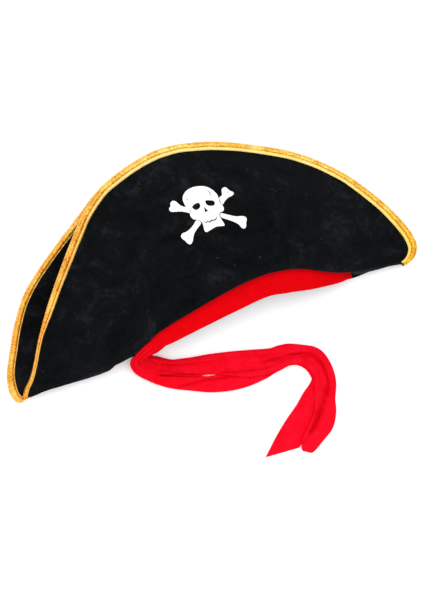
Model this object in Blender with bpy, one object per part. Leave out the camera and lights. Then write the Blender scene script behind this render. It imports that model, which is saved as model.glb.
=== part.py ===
"""Cocked pirate hat with a skull print, gold edge binding and a red sash.

The hat lies on its back brim.  +X runs from its left point to its right point,
+Y from the head opening to the peak, and +Z up from the surface it lies on.
All sizes here are millimetres from the middle of the straight line between the two
points.  A mesh is made in metres, from the middle of the back brim's flat face.
"""
import math

import bmesh
import bpy
from mathutils import Vector

MM = 0.001
ORIGIN = Vector((0, 85, 0))   # middle of the back brim's flat face, from the head opening's chord

# --- driving dimensions -------------------------------------------------------------
VELOUR = 1.0            # pile fabric of the brims
FOAM = 2.4              # foam sheet between the two velours
GAP = 0.3               # clearance between layers that touch
BRIM_HALF = VELOUR + GAP + FOAM / 2
BINDING_FLANGE = 8.0    # how far the gold binding reaches in from the edge
BINDING_WALL = 1.0
BINDING_EASE = 0.6      # room between the binding and the velour it folds over
CLOTH = 1.2             # crown panels, sash band
LINING = 0.8
SWEATBAND = 1.2
SWEATBAND_DEPTH = 0.2   # share of the crown's height
BACK_FLAT = BRIM_HALF   # middle of the back brim where it lies flat
BACK_LIFT = 1.9         # rise of the back brim where the binding passes under it
CROWN_BACK_HEIGHT = 2 * BRIM_HALF + GAP + CLOTH / 2
CROWN_SEAM_HEIGHT = 9.0
BRIM_BULGE = 21.0
CROWN_BULGE = 35.0
SIDE_FOLD_Y = 4.0       # centre of the rounded lower edge at each point of the hat
SIDE_FOLD_Z = 8.7
SIDE_FOLD_RADIUS = 6.8
SIDE_FOLD_START = 158.0
SIDE_FOLD_END = 182.0
SIDE_FOLD_ARC = 150.0
PRINT_THICKNESS = 0.5
TAIL_THICKNESS = 3.0
GATHER_CENTRE = (-92.0, -4.0)
GATHER_RADIUS = 8.5
GATHER_HEIGHT = 19.0

# --- outlines, each a smooth curve through its points -----------------------------------
FRONT_EDGE = ((-216, 1, 13), (-219, 7, 13), (-217.5, 14, 13.4), (-210, 24, 16.5), (-198, 35, 22),
              (-178, 60, 34), (-151, 96, 42), (-118, 134, 38), (-97, 157, 33),
              (-66, 177, 31), (-8, 190, 30), (45, 181, 30), (97, 159, 28), (134, 138, 26),
              (168, 109, 23), (192, 79, 20), (208, 53, 17), (218.5, 30, 14.5), (221.5, 17, 13.4),
              (220.5, 8, 13), (215, 1, 13))
FRONT_FOLD = ((-203, 1.5, 13), (-190, 4.2, 13), (-176, 4.5, 13.4), (-140, 5, 17), (-105, 8, 25),
              (-71, 21.5, 36), (-26, 31, 46), (18, 38, 51), (50, 39.5, 51), (74, 36.5, 48),
              (94, 31, 43), (124, 19, 32), (148, 10.5, 22), (178, 6, 14), (192, 4.6, 13),
              (203, 2.5, 13))
BACK_EDGE = ((-219, 1, 0), (-223.5, 8, 0), (-225, 18, 0), (-221, 31, 0), (-211, 50, 0), (-194, 77, 0),
             (-174, 102, 0), (-143, 128, 0), (-96, 158, 0), (-66, 175, 0), (-8, 188, 0), (45, 179, 0),
             (95, 155, 0), (130, 135, 0), (163, 106, 0), (187, 77, 0), (203, 52, 0), (214, 30, 0),
             (219.5, 16, 0), (218.5, 8, 0), (215, 1, 0))
BACK_FOLD = ((-202, 1.5, 0), (-190, 4.2, 0), (-170, 4.8, 0), (-150, 5, 0), (-105, 7, 0), (-45, 10, 0),
             (45, 18, 0), (110, 10, 0), (150, 5, 0), (170, 4.8, 0), (190, 4.2, 0), (202, 1.5, 0))
CROWN_LIP = ((-138, 9, 10.5), (-105, 8, 18), (-70, 6, 26.5), (-45, 8, 31.5), (-10, 12, 36), (45, 17, 38),
             (70, 14, 36), (100, 9, 29.5), (127, 8, 20), (146, 9, 11))
CROWN_BACK_LIP = ((-138, 9, 0), (-92, 10, 0), (-45, 13, 0), (45, 20, 0), (110, 13, 0), (146, 9, 0))
CROWN_CENTRE_X = 4.0
CROWN_HALF_WIDTH = 144.0
CROWN_BASE_Y = 10.0
CROWN_RISE = 134.0
CROWN_SQUARENESS = 2.6
CROWN_START_ANGLE = 8.0
TAIL_OUTER = ((-81, 1, 0), (-72, -6, 0), (-56, -16, 0), (-30, -20, 0), (5, -29, 0), (41, -38, 0),
              (62, -40, 0), (79, -47, 0), (91, -60, 0), (97, -86, 0), (88, -114, 0), (68, -140, 0),
              (39, -151, 0))
TAIL_DIVIDE = ((-84, -11, 0), (-72, -24, 0), (-49, -34, 0), (-27, -42, 0), (5, -50, 0), (35, -54, 0),
               (58, -52, 0), (76, -58, 0), (84, -75, 0), (82, -97, 0), (68, -120, 0), (37, -144, 0))
TAIL_INNER = ((-95, -16, 0), (-90, -25, 0), (-74, -38, 0), (-48, -50, 0), (-28, -59, 0), (2, -66, 0),
              (32, -66, 0), (50, -61, 0), (66, -67, 0), (73, -79, 0), (64, -94, 0), (36, -117, 0),
              (1, -140, 0))

# --- skull print, in the plane of the hat -------------------------------------------------
PRINT_X = 13.5
SKULL_Y = 126.0
SKULL_HALF_WIDTH = 18.0
SKULL_HALF_HEIGHT = 16.5
CHEEK_Y = 113.5
CHEEK_OUT = 12.5
CHEEK_RADIUS = 4.6
EYE_OUT = 7.8
EYE_Y = 122.5
TEETH_Y = 104.0
TEETH_HALF_WIDTH = 6.5
TEETH_COUNT = 5
BONE_CENTRE_Y = 111.0
BONE_END_X = 31.0
BONE_UPPER_Y = 129.5
BONE_LOWER_Y = 92.5
BONE_HALF_WIDTH = 2.8
BONE_KNOB_RADIUS = 4.2
PRINT_CLEARANCE = 0.4

# --- how finely each surface is divided ---------------------------------------------------
BRIM_COLUMNS = [0.6 * i / 30 + 0.2 * (1 - math.cos(math.pi * i / 30)) for i in range(31)]
FRONT_ROWS = (0.0, 0.08, 0.2, 0.36, 0.54, 0.72, 0.88, 1.0)
BACK_ROWS = (0.0, 0.12, 0.45, 0.81, 0.89, 1.0)
CROWN_COLUMNS = [i / 18 for i in range(19)]
CROWN_ROWS = (0.0, 0.12, 0.28, 0.46, 0.64, 0.8, 0.92, 1.0)


# --- materials ----------------------------------------------------------------------------
def make_material(name, colour, roughness, metallic=0.0):
    material = bpy.data.materials.new(name)
    material.use_nodes = True
    shader = material.node_tree.nodes["Principled BSDF"]
    shader.inputs["Base Color"].default_value = (*colour, 1.0)
    shader.inputs["Roughness"].default_value = roughness
    shader.inputs["Metallic"].default_value = metallic
    return material


def make_materials():
    return {
        "velour": make_material("black_velour", (0.012, 0.012, 0.014), 0.85),
        "foam": make_material("grey_foam", (0.12, 0.12, 0.12), 0.95),
        "lining": make_material("black_lining", (0.02, 0.02, 0.022), 0.5),
        "grosgrain": make_material("black_grosgrain", (0.03, 0.03, 0.03), 0.7),
        "gold": make_material("gold_binding", (0.85, 0.48, 0.05), 0.35, 0.8),
        "thread": make_material("gold_thread", (0.6, 0.3, 0.03), 0.5, 0.4),
        "knit": make_material("red_knit", (0.85, 0.01, 0.03), 0.8),
        "red_thread": make_material("red_thread", (0.5, 0.01, 0.02), 0.6),
        "print": make_material("white_print", (0.92, 0.92, 0.92), 0.6),
        "label": make_material("white_label", (0.85, 0.85, 0.83), 0.7),
    }


# --- curves and surfaces ------------------------------------------------------------------
def smooth_curve(points, steps=16):
    """A Catmull-Rom curve through the points, as a function of its share of length."""
    knots = [Vector(p) for p in points]
    knots = [2 * knots[0] - knots[1]] + knots + [2 * knots[-1] - knots[-2]]
    samples = []
    for a, b, c, d in zip(knots, knots[1:], knots[2:], knots[3:]):
        for step in range(steps):
            t = step / steps
            samples.append(0.5 * (2 * b + (c - a) * t + (2 * a - 5 * b + 4 * c - d) * t ** 2
                                  + (3 * b - a - 3 * c + d) * t ** 3))
    samples.append(knots[-2])
    lengths = [0.0]
    for a, b in zip(samples, samples[1:]):
        lengths.append(lengths[-1] + (b - a).length)

    def at(share):
        wanted = share * lengths[-1]
        index = 1
        while index < len(lengths) - 1 and lengths[index] < wanted:
            index += 1
        span = lengths[index] - lengths[index - 1]
        return samples[index - 1].lerp(samples[index], (wanted - lengths[index - 1]) / span)
    return at


def between(lower, upper, height):
    """The surface ruled from one curve to another, with a height added to its middle."""
    def at(c, r):
        point = lower(c).lerp(upper(c), r)
        point.z += height(c, r, point)
        return point
    return at


def smooth_step(value):
    value = min(max(value, 0.0), 1.0)
    return value * value * (3 - 2 * value)


def front_height(c, r, point):
    return BRIM_BULGE * math.sin(math.pi * c) ** 1.2 * math.sin(math.pi * r ** 0.8)


def back_height(c, r, point):
    near_rim = smooth_step((r - 0.81) / 0.08)
    near_point = smooth_step((abs(point.x) - 160) / 20)
    return BACK_FLAT + BACK_LIFT * max(near_rim, near_point)


def crown_height(c, r, point):
    return CROWN_BULGE * math.sin(math.pi * c) ** 0.8 * math.sin(math.pi * r ** 1.4)


def crown_arch(c, z=CROWN_SEAM_HEIGHT, grow=0.0):
    start = math.radians(CROWN_START_ANGLE)
    angle = math.pi - start - c * (math.pi - 2 * start)
    power = 2 / CROWN_SQUARENESS
    across = math.copysign(abs(math.cos(angle)) ** power, math.cos(angle))
    up = abs(math.sin(angle)) ** power
    return Vector((CROWN_CENTRE_X + (CROWN_HALF_WIDTH + grow) * across,
                   CROWN_BASE_Y + (CROWN_RISE + grow) * up, z))


def normal_at(surface, c, r):
    step = 0.004
    across = surface(min(c + step, 1), r) - surface(max(c - step, 0), r)
    along = surface(c, min(r + step, 1)) - surface(c, max(r - step, 0))
    return across.cross(along).normalized()


# --- solids -------------------------------------------------------------------------------
def make_object(name, points, faces, material, smooth=True):
    mesh = bpy.data.meshes.new(name)
    mesh.from_pydata([(Vector(p) - ORIGIN) * MM for p in points], [], faces)
    mesh.materials.append(material)
    work = bmesh.new()
    work.from_mesh(mesh)
    bmesh.ops.recalc_face_normals(work, faces=work.faces)
    work.to_mesh(mesh)
    work.free()
    if smooth:
        mesh.shade_smooth()
        mesh.set_sharp_from_angle(angle=math.radians(40))
    thing = bpy.data.objects.new(name, mesh)
    bpy.context.scene.collection.objects.link(thing)
    return thing


def layer(name, surface, low, high, columns, rows, material):
    """A sheet of cloth or foam that lies between two heights above a surface."""
    wide, deep = len(columns), len(rows)
    points = []
    for height in (low, high):
        for c in columns:
            for r in rows:
                points.append(surface(c, r) + normal_at(surface, c, r) * height)

    def index(side, i, j):
        return side * wide * deep + i * deep + j

    faces = []
    for i in range(wide - 1):
        for j in range(deep - 1):
            for side in (0, 1):
                faces.append([index(side, i, j), index(side, i + 1, j),
                              index(side, i + 1, j + 1), index(side, i, j + 1)])
    rim = [(i, 0) for i in range(wide)] + [(wide - 1, j) for j in range(1, deep)]
    rim += [(i, deep - 1) for i in range(wide - 2, -1, -1)] + [(0, j) for j in range(deep - 2, 0, -1)]
    for (i, j), (k, m) in zip(rim, rim[1:] + rim[:1]):
        faces.append([index(0, i, j), index(0, k, m), index(1, k, m), index(1, i, j)])
    return make_object(name, points, faces, material)


def sweep(name, rings, material):
    """A closed body through rings of points, capped at both ends."""
    count = len(rings[0])
    points = [point for ring in rings for point in ring]
    faces = [list(range(count)), list(range(len(points) - count, len(points)))]
    for i in range(len(rings) - 1):
        for j in range(count):
            k = (j + 1) % count
            faces.append([i * count + j, i * count + k, (i + 1) * count + k, (i + 1) * count + j])
    return make_object(name, points, faces, material)


def near_edge(surface, c, inset, height):
    """A point that far in from the outer edge, or out past it, and that high off the face."""
    edge = surface(c, 1)
    normal = normal_at(surface, c, 1)
    tangent = (surface(min(c + 0.004, 1), 1) - surface(max(c - 0.004, 0), 1)).normalized()
    outward = normal.cross(tangent).normalized()
    if inset <= 0:
        return edge - outward * inset + normal * height
    reach = (edge - surface(c, 0.9)).dot(outward) / 0.1
    share = max(1 - inset / reach, 0.02)
    return surface(c, share) + normal_at(surface, c, share) * height


def binding(name, surface, material):
    """Gold tape folded round the brim's edge."""
    inside = BRIM_HALF + BINDING_EASE
    outside = inside + BINDING_WALL
    profile = ((BINDING_FLANGE, outside), (-0.4, outside), (-2.0, outside * 0.45),
               (-2.0, -outside * 0.45), (-0.4, -outside), (BINDING_FLANGE, -outside),
               (BINDING_FLANGE, -inside), (-GAP, -inside), (-GAP, inside), (BINDING_FLANGE, inside))
    rings = [[near_edge(surface, c, inset, up) for inset, up in profile] for c in BRIM_COLUMNS]
    return sweep(name, rings, material)


def binding_stitch(name, surface, material):
    """Thread that holds the binding, along the middle of its flange."""
    middle = BINDING_FLANGE / 2
    low = BRIM_HALF + BINDING_EASE + BINDING_WALL + GAP
    profile = ((middle - 0.4, low), (middle + 0.4, low), (middle + 0.4, low + 0.8),
               (middle - 0.4, low + 0.8))
    rings = [[near_edge(surface, c, inset, up) for inset, up in profile] for c in BRIM_COLUMNS[4:-4]]
    return sweep(name, rings, material)


def cord_along(name, points, radius, material, sides=6):
    rings = []
    for before, here, after in zip([points[0]] + points[:-1], points, points[1:] + [points[-1]]):
        tangent = (after - before).normalized()
        side = tangent.cross(Vector((0, 0, 1))).normalized()
        turns = [2 * math.pi * k / sides for k in range(sides)]
        rings.append([here + side * radius * math.cos(a) + Vector((0, 0, radius * math.sin(a)))
                      for a in turns])
    return sweep(name, rings, material)


def side_fold(name, x_start, x_end, material):
    """The folded lower edge of one point of the hat, where front and back brim are one cloth."""
    rings = []
    for x in (x_start, (x_start + x_end) / 2, x_end):
        ring = []
        for radius, order in ((SIDE_FOLD_RADIUS, 1), (SIDE_FOLD_RADIUS - VELOUR, -1)):
            angles = [math.radians(SIDE_FOLD_ARC * k / 8) for k in range(9)][::order]
            ring += [Vector((x, SIDE_FOLD_Y - radius * math.sin(a), SIDE_FOLD_Z - radius * math.cos(a)))
                     for a in angles]
        rings.append(ring)
    return sweep(name, rings, material)


# --- skull print --------------------------------------------------------------------------
def oval(x, y, half_x, half_y, turn=0.0, sides=28):
    points = []
    for k in range(sides):
        a = 2 * math.pi * k / sides
        px, py = half_x * math.cos(a), half_y * math.sin(a)
        points.append((x + px * math.cos(turn) - py * math.sin(turn),
                       y + px * math.sin(turn) + py * math.cos(turn)))
    return points


def prism(outline, depth):
    """A tall block over an outline, used as a cutter."""
    rings = [[Vector((x, y, z)) for x, y in outline] for z in (10 - depth, 100 + depth)]
    return sweep("cutter", rings, bpy.data.materials["white_print"])


def combine(target, other, operation):
    modifier = target.modifiers.new("combine", "BOOLEAN")
    modifier.operation = operation
    modifier.solver = "EXACT"
    modifier.object = other
    bpy.context.view_layer.objects.active = target
    bpy.ops.object.modifier_apply(modifier=modifier.name)
    bpy.data.objects.remove(other)
    return target


def skull_block(grow):
    """Cranium, cheek bones and jaw as one tall block."""
    block = prism(oval(PRINT_X, SKULL_Y, SKULL_HALF_WIDTH + grow, SKULL_HALF_HEIGHT + grow), 0)
    for side in (-1, 1):
        cheek = oval(PRINT_X + side * CHEEK_OUT, CHEEK_Y, CHEEK_RADIUS + grow, CHEEK_RADIUS + grow)
        combine(block, prism(cheek, 1 + side * 0.5), "UNION")
    face = [(-12.5, 120), (-8.2, 103.5), (-11.5, 95), (-7, 93.5), (0, 97), (7, 93.5), (11.5, 95),
            (8.2, 103.5), (12.5, 120)]
    middle = sum(y for _, y in face) / len(face)
    spread = 1 + grow / 10
    outline = [(PRINT_X + x * spread, middle + (y - middle) * spread) for x, y in face]
    return combine(block, prism(outline, 3), "UNION")


def teeth_slot():
    """A zigzag line between the upper and lower teeth."""
    line = []
    for k in range(TEETH_COUNT * 2 + 1):
        x = PRINT_X - TEETH_HALF_WIDTH + k * TEETH_HALF_WIDTH / TEETH_COUNT
        line.append((x, TEETH_Y + (0.6 if k % 2 else -0.6)))
    return [(x, y + 0.35) for x, y in line] + [(x, y - 0.35) for x, y in reversed(line)]


def print_patch(name, surface, material):
    columns = [0.415 + 0.25 * i / 14 for i in range(15)]
    rows = [0.26 + 0.5 * j / 11 for j in range(12)]
    low = BRIM_HALF + GAP
    return layer(name, surface, low, low + PRINT_THICKNESS, columns, rows, material)


def skull_print(surface, material):
    skull = combine(print_patch("skull_print", surface, material), skull_block(0.0), "INTERSECT")
    for side in (-1, 1):
        eye = oval(PRINT_X + side * EYE_OUT, EYE_Y, 4.4, 3.4, side * math.radians(-14), 16)
        combine(skull, prism(eye, 5), "DIFFERENCE")
    nose = [(PRINT_X, 118.5), (PRINT_X - 2.7, 113.2), (PRINT_X + 2.7, 113.2)]
    combine(skull, prism(nose, 5), "DIFFERENCE")
    return combine(skull, prism(teeth_slot(), 5), "DIFFERENCE")


def crossbone_print(name, surface, side, end_y, material):
    """One arm of the crossed bones: a shaft and the two knobs of its end."""
    start = Vector((PRINT_X, BONE_CENTRE_Y, 0))
    end = Vector((PRINT_X + side * BONE_END_X, end_y, 0))
    along = (end - start).normalized()
    across = Vector((-along.y, along.x, 0)) * BONE_HALF_WIDTH
    shaft = [start - across, end - across, end + across, start + across]
    arm = prism([(p.x, p.y) for p in shaft], 0)
    for hand in (-1, 1):
        knob = end + across * hand * 1.25
        combine(arm, prism(oval(knob.x, knob.y, BONE_KNOB_RADIUS, BONE_KNOB_RADIUS, 0, 16), 1.5 + hand * 0.5),
                "UNION")
    combine(arm, skull_block(PRINT_CLEARANCE), "DIFFERENCE")
    return combine(print_patch(name, surface, material), arm, "INTERSECT")


# --- the hat ------------------------------------------------------------------------------
def make_brim(prefix, surface, rows, outside, materials):
    """Velour, foam and velour, one on the other, with the bound edge."""
    def span(low, high):
        return (low, high) if outside > 0 else (-high, -low)

    low, high = span(BRIM_HALF - VELOUR, BRIM_HALF)
    layer(prefix + "_brim_outer", surface, low, high, BRIM_COLUMNS, rows, materials["velour"])
    layer(prefix + "_brim_foam", surface, -FOAM / 2, FOAM / 2, BRIM_COLUMNS, rows, materials["foam"])
    low, high = span(-BRIM_HALF, -BRIM_HALF + VELOUR)
    layer(prefix + "_brim_inner", surface, low, high, BRIM_COLUMNS, rows, materials["velour"])
    binding(prefix + "_trim", surface, materials["gold"])
    binding_stitch(prefix + "_trim_stitch", surface, materials["thread"])


def make_crown(materials):
    """Two crown panels, their piped seam, the lining and the sweatband inside."""
    front = between(smooth_curve(CROWN_LIP), crown_arch, crown_height)
    back = between(smooth_curve(CROWN_BACK_LIP), lambda c: crown_arch(c, 0.0),
                   lambda c, r, point: CROWN_BACK_HEIGHT)
    half = CLOTH / 2
    layer("crown_front", front, -half, half, CROWN_COLUMNS, CROWN_ROWS, materials["velour"])
    layer("crown_back", back, -half, half, CROWN_COLUMNS, CROWN_ROWS[::2] + (1.0,), materials["velour"])

    lining_columns = CROWN_COLUMNS[1:-1]
    top = half + GAP + LINING
    layer("lining_front", front, -top, -half - GAP, lining_columns, CROWN_ROWS[:-1], materials["lining"])
    layer("lining_back", back, half + GAP, top, lining_columns, CROWN_ROWS[:-1:2] + (0.92,),
          materials["lining"])

    band_columns = CROWN_COLUMNS[2:-2]
    band_rows = (0.01, SWEATBAND_DEPTH)
    low = top + GAP
    layer("sweatband_front", front, -low - SWEATBAND, -low, band_columns, (0.01, 0.12, SWEATBAND_DEPTH),
          materials["grosgrain"])
    layer("sweatband_back", back, low, low + SWEATBAND, band_columns, band_rows, materials["grosgrain"])
    layer("care_label", back, top + GAP, top + GAP + 0.4, (0.66, 0.75), (0.4, 0.56), materials["label"])

    lip = smooth_curve(CROWN_LIP)
    steps = 30
    path = [lip(0) + Vector((-2.4, 0, -2.6))]
    path += [crown_arch(k / steps, CROWN_SEAM_HEIGHT - 1.6, 2.4) for k in range(steps + 1)]
    path += [lip(1) + Vector((2.4, 0, -2.6))]
    cord_along("crown_seam_piping", path, 0.9, materials["velour"])
    return front


def make_sash(crown, materials):
    """The red band over the forehead, its gather at the left and the two loose tails."""
    low = CLOTH / 2 + GAP
    layer("sash_band", crown, low, low + CLOTH, CROWN_COLUMNS[3:], CROWN_ROWS[:3], materials["knit"])
    tack = low + CLOTH + 2 * GAP
    layer("sash_bar_tack", crown, tack, tack + 0.6, (0.18, 0.195), (0.02, 0.07), materials["red_thread"])

    x, y = GATHER_CENTRE
    rings = []
    for share, swell in ((0.0, 0.82), (0.15, 1.0), (0.5, 0.94), (0.85, 1.0), (1.0, 0.82)):
        radius = GATHER_RADIUS * swell
        z = GAP + GATHER_HEIGHT * share
        rings.append([Vector((x + radius * math.cos(a), y + radius * math.sin(a), z))
                      for a in (2 * math.pi * k / 16 for k in range(16))])
    sweep("sash_gather", rings, materials["knit"])

    outer, divide, inner = (smooth_curve(p) for p in (TAIL_OUTER, TAIL_DIVIDE, TAIL_INNER))
    steps = [i / 30 for i in range(31)]
    flat = (lambda c, r, point: GAP)
    split = 0.03
    layer("sash_tail_upper", between(divide, outer, flat), 0, TAIL_THICKNESS, steps, (split, 0.5, 1.0),
          materials["knit"])
    layer("sash_tail_lower", between(inner, divide, flat), 0, TAIL_THICKNESS, steps, (0.0, 0.5, 1 - split),
          materials["knit"])


def make_hat():
    for thing in list(bpy.data.objects):
        bpy.data.objects.remove(thing)
    materials = make_materials()
    front = between(smooth_curve(FRONT_FOLD), smooth_curve(FRONT_EDGE), front_height)
    back = between(smooth_curve(BACK_FOLD), smooth_curve(BACK_EDGE), back_height)
    make_brim("back", back, BACK_ROWS, -1, materials)
    make_brim("front", front, FRONT_ROWS, 1, materials)
    side_fold("side_fold_left", -SIDE_FOLD_END, -SIDE_FOLD_START, materials["velour"])
    side_fold("side_fold_right", SIDE_FOLD_START, SIDE_FOLD_END, materials["velour"])
    crown = make_crown(materials)
    make_sash(crown, materials)
    skull_print(front, materials["print"])
    for name, side, end_y in (("crossbone_upper_left", -1, BONE_UPPER_Y),
                              ("crossbone_upper_right", 1, BONE_UPPER_Y),
                              ("crossbone_lower_left", -1, BONE_LOWER_Y),
                              ("crossbone_lower_right", 1, BONE_LOWER_Y)):
        crossbone_print(name, front, side, end_y, materials["print"])


make_hat()
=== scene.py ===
"""Cocked pirate hat: black velour, gold bound edges, red sash with two loose tails."""
import math

import bmesh
import bpy
import numpy as np
from mathutils import Matrix, Vector
from mathutils.bvhtree import BVHTree


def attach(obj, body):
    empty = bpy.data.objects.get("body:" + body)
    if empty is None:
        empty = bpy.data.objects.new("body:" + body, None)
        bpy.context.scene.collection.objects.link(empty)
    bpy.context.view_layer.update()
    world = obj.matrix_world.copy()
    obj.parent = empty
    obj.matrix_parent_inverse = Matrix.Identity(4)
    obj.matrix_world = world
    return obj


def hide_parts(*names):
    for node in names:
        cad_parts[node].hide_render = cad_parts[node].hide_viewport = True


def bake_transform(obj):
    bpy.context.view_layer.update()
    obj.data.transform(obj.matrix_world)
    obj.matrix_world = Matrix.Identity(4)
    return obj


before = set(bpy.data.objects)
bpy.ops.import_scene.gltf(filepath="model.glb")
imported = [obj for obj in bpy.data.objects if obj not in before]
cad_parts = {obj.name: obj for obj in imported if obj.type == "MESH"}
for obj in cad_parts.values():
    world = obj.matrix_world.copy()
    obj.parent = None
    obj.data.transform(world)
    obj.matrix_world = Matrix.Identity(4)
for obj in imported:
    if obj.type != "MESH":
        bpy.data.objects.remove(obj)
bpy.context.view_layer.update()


# --- Camera -------------------------------------------------------------------------
# A long lens above the hat, leaning 15 degrees towards its left point and turned so
# that the hat lies across the view from lower left to upper right.
LEAN, TURN = math.radians(15), math.radians(20.1)
AIM, DISTANCE, VIEW_HEIGHT, SENSOR = Vector((-.0045, -.0535, .025)), 3.0, .606, 36
across, upward = Vector((math.cos(LEAN), 0, math.sin(LEAN))), Vector((0, 1, 0))
right = math.cos(TURN) * across - math.sin(TURN) * upward
up = math.sin(TURN) * across + math.cos(TURN) * upward
back = right.cross(up)
camera_data = bpy.data.cameras.new("camera")
camera_data.sensor_width, camera_data.lens = SENSOR, SENSOR * DISTANCE / VIEW_HEIGHT
camera_data.clip_start, camera_data.clip_end = .1, 60
camera = bpy.data.objects.new("camera", camera_data)
bpy.context.scene.collection.objects.link(camera)
camera.matrix_world = Matrix.Translation(AIM + back * DISTANCE) @ Matrix(
    (right, up, back)).transposed().to_4x4()
bpy.context.scene.camera = camera


# --- Light and floor ----------------------------------------------------------------
# Soft white studio light: a bright surround, one large panel above the peak of the hat
# and a smaller one at its left point, over a plain white floor.
def light_panel(name, place, size, power):
    """A square soft light at a place, aimed at the hat."""
    data = bpy.data.lights.new(name, "AREA")
    data.shape, data.size, data.energy = "SQUARE", size, power
    light = bpy.data.objects.new(name, data)
    light.location = place
    light.rotation_euler = (-Vector(place)).to_track_quat("-Z", "Y").to_euler()
    bpy.context.scene.collection.objects.link(light)


def start_material(name, roughness, **values):
    """A new material with values set on its shader, and its node tree."""
    material = bpy.data.materials.new(name)
    material.use_nodes = True
    inputs = material.node_tree.nodes["Principled BSDF"].inputs
    inputs["Roughness"].default_value = roughness
    for key, value in values.items():
        inputs[key.replace("_", " ")].default_value = value
    return material, material.node_tree


light_panel("key_panel", (-.3, .7, 2.3), 1.8, 22)
light_panel("side_panel", (-1.8, -.6, 1.3), .8, 6)
world = bpy.data.worlds.new("surround")
world.use_nodes = True
for key, value in (("Color", (1, 1, 1, 1)), ("Strength", .88)):
    world.node_tree.nodes["Background"].inputs[key].default_value = value
bpy.context.scene.world = world
bpy.context.scene.view_settings.view_transform = "Standard"

bpy.ops.object.select_all(action="DESELECT")
bpy.ops.mesh.primitive_plane_add(size=14, location=(0, 0, -.0002))
floor = bpy.context.object
floor.name = "floor"
floor.data.materials.append(start_material(
    "white_paper", .9, Base_Color=(.93, .93, .935, 1), Specular_IOR_Level=.1,
    Emission_Color=(1, 1, 1, 1), Emission_Strength=.2)[0])


# --- Back brim ----------------------------------------------------------------------
# A layer of foam between two layers of black velour, lying flat under the crown. Its
# cloth follows a curve along the folded lower edge and one along the bound edge.
MM = .001
ORIGIN = np.array((0, 85, 0))      # the record's origin, from the head opening's chord, mm
VELOUR, FOAM, BRIM_HALF = 1.0, 2.4, 2.5      # the layers, and half of all three together
FACE = BRIM_HALF - VELOUR / 2
CLOTH_SHARE = .9                   # of a layer's thickness, so that neighbours keep a gap
BACK_FLAT, BACK_LIFT = 2.5, 1.9
RIM_START, RIM_RISE, POINT_START, POINT_RISE = .81, .08, 160, 20
BACK_EDGE = (
    (-213, 3.6, 0), (-219.5, 2.2, 0), (-223.5, 4.5, 0), (-225.6, 10.5, 0), (-225.6, 19, 0), (-222, 32.5, 0),
    (-211.8, 52, 0), (-196.5, 78, 0), (-176, 103, 0), (-143, 128, 0), (-96, 158, 0), (-66, 175, 0),
    (-8, 188, 0), (45, 179, 0), (95, 155, 0), (130, 135, 0), (163, 107, 0), (188, 78, 0),
    (205, 52, 0), (215.5, 30, 0), (219, 16, 0), (218, 7, 0), (213, 0, 0), (206, -2, 0))
BACK_FOLD = (
    (-202, 3.6, 0), (-190, 5, 0), (-170, 4.8, 0), (-150, 5, 0), (-105, 7, 0), (-45, 10, 0),
    (45, 18, 0), (110, 10, 0), (150, 5, 0), (170, 4.8, 0), (190, 4.2, 0), (202, 1.5, 0))


def between(a, b, c, d, t):
    """Points from b to c on a smooth curve that also passes through a and d."""
    return .5 * (2 * b + (c - a) * t + (2 * a - 5 * b + 4 * c - d) * t ** 2
                 + (3 * b - a - 3 * c + d) * t ** 3)


def smooth_line(points, steps=16):
    """A smooth line through points, read by its share of length."""
    p = np.array(points, float)
    p = np.vstack((2 * p[0] - p[1], p, 2 * p[-1] - p[-2]))
    t = (np.arange(steps) / steps)[:, None]
    line = np.vstack([between(*four, t) for four in zip(p, p[1:], p[2:], p[3:])] + [p[-2:-1]])
    length = np.append(0, np.cumsum(np.linalg.norm(np.diff(line, axis=0), axis=1)))
    return lambda share: np.stack(
        [np.interp(share, length / length[-1], line[:, k]) for k in range(line.shape[1])], 1)


def smooth_step(x):
    """Rises smoothly from 0 to 1."""
    x = np.clip(x, 0, 1)
    return x * x * (3 - 2 * x)


def level(c, r):
    """No dents."""
    return 0 * c


def ruled(lower, upper, height):
    """The surface from one line to another, with a height added to it."""
    def at(c, r):
        c, r = np.clip(c, 0, 1), np.clip(r, 0, 1)
        p = lower(c) * (1 - r)[:, None] + upper(c) * r[:, None]
        p[:, 2] += height(c, r, p)
        return p
    return at


def normals(surface, c, r):
    """The surface's directions upwards, from its slopes over a short step."""
    step = .004
    u = surface(c + step, r) - surface(c - step, r)
    v = surface(c, r + step) - surface(c, r - step)
    n = np.cross(u, v)
    return n / np.linalg.norm(n, axis=1)[:, None]


def lifted(surface, c, r, lift):
    """Points that far off the surface, in millimetres."""
    return surface(c, r) + normals(surface, c, r) * np.reshape(lift, (-1, 1))


def ripple(seed, count, low, high):
    """A smooth random wave from -1 to 1 with that many sines between two rates."""
    draw = np.random.default_rng(seed)
    rate, phase = draw.uniform(low, high, count), draw.uniform(0, 6.28, count)
    return lambda x: sum(np.sin(rate[k] * x + phase[k]) for k in range(count)) / count ** .5 / 1.5


def shaped_grid(name, columns, rows, place, size):
    """A flat grid of cloth laid out to place(u, v), with a UV map in metres of cloth. The
    place may come with values to keep at its points, by name."""
    bpy.ops.object.select_all(action="DESELECT")
    bpy.ops.mesh.primitive_grid_add(x_subdivisions=columns, y_subdivisions=rows, size=1)
    thing = bpy.context.object
    mesh = thing.data
    thing.name = mesh.name = name
    flat = np.empty(len(mesh.vertices) * 3)
    mesh.vertices.foreach_get("co", flat)
    flat = flat.reshape(-1, 3) + .5
    laid = place(flat[:, 0], flat[:, 1])
    points, kept = laid if isinstance(laid, tuple) else (laid, {})
    mesh.vertices.foreach_set("co", ((points - ORIGIN) * MM).ravel())
    uv = np.empty(len(mesh.loops) * 2)
    mesh.uv_layers.active.data.foreach_get("uv", uv)
    mesh.uv_layers.active.data.foreach_set("uv", (uv.reshape(-1, 2) * size).ravel())
    for key, values in kept.items():
        mesh.attributes.new(key, "FLOAT", "POINT").data.foreach_set("value", values)
    mesh.update()
    return thing


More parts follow.
